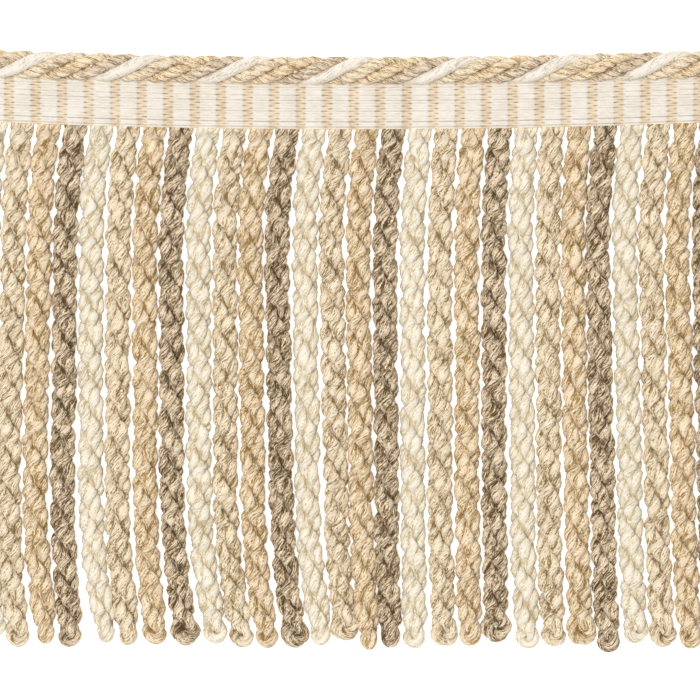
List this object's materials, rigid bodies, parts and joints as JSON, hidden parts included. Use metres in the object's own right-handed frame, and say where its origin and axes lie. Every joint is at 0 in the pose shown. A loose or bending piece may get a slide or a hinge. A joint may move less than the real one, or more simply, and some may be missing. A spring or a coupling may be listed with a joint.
{
  "type": "bullion fringe trim",
  "caption": "Flat cut length of furnishing fringe: a lip cord above a ribbed woven heading tape, with a skirt of twisted looped bullion strands in soft natural tones.",
  "frame": {"origin": "middle of the trim's outer box, on the surface that its back lies on", "axes": "+X along the trim, +Y across it towards the lip cord with the strands running to -Y, +Z out of the face"},
  "size_m": [0.1886, 0.1506, 0.0065],
  "materials": {
    "tape": "matte ribbed weave of cream and beige threads",
    "cream_yarn": "matte twisted yarn, cream",
    "natural_yarn": "matte twisted yarn, natural beige with a fleck",
    "tan_yarn": "matte twisted yarn, golden tan with a fleck",
    "brown_yarn": "matte twisted yarn, taupe brown with a fleck"
  },
  "bodies": {
    "root": {"lip_cord": "cream_yarn", "heading_tape": "tape", "bullion_skirt": "natural_yarn"}
  },
  "joints": []
}
